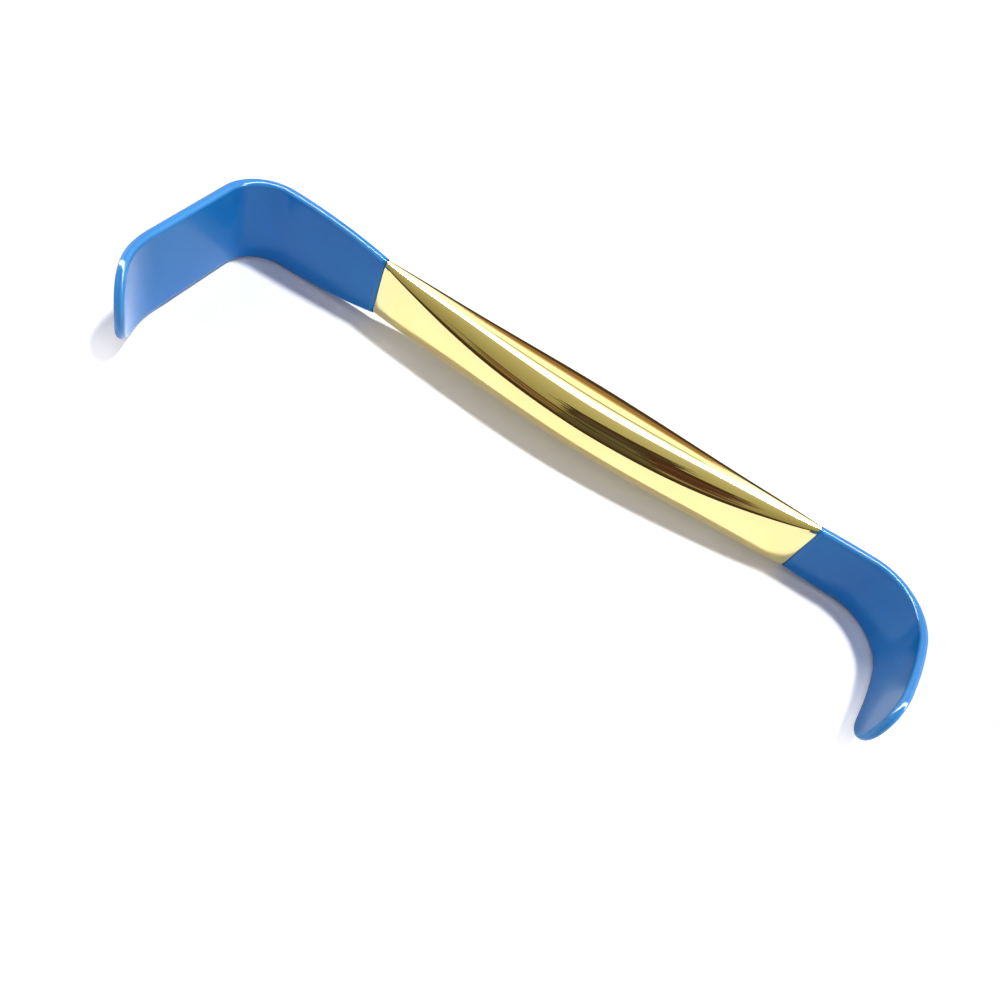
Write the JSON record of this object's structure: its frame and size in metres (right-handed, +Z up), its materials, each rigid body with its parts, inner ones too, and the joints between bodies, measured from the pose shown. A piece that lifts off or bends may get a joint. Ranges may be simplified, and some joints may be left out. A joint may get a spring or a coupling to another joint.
{
  "type": "handheld double-ended surgical retractor",
  "caption": "Double-ended hand retractor: gold-plated oval grip, a deep curved-lip blade at one end and a short hook blade at the other, both coated in blue insulation",
  "frame": {"origin": "centre of the bounding box's foot, on the surface that the retractor lies on", "axes": "+X runs along the handle from the deep blade to the hook blade, both blades point to -Y, +Z is up from the surface"},
  "size_m": [0.209, 0.0636, 0.0254],
  "materials": {
    "gold_plate": "mirror-polished gold plating on forged stainless steel",
    "blue_coating": "smooth glossy insulating coating"
  },
  "bodies": {
    "root": {"steel_bar": "gold_plate", "deep_blade_coating": "blue_coating", "hook_blade_coating": "blue_coating"}
  },
  "joints": []
}
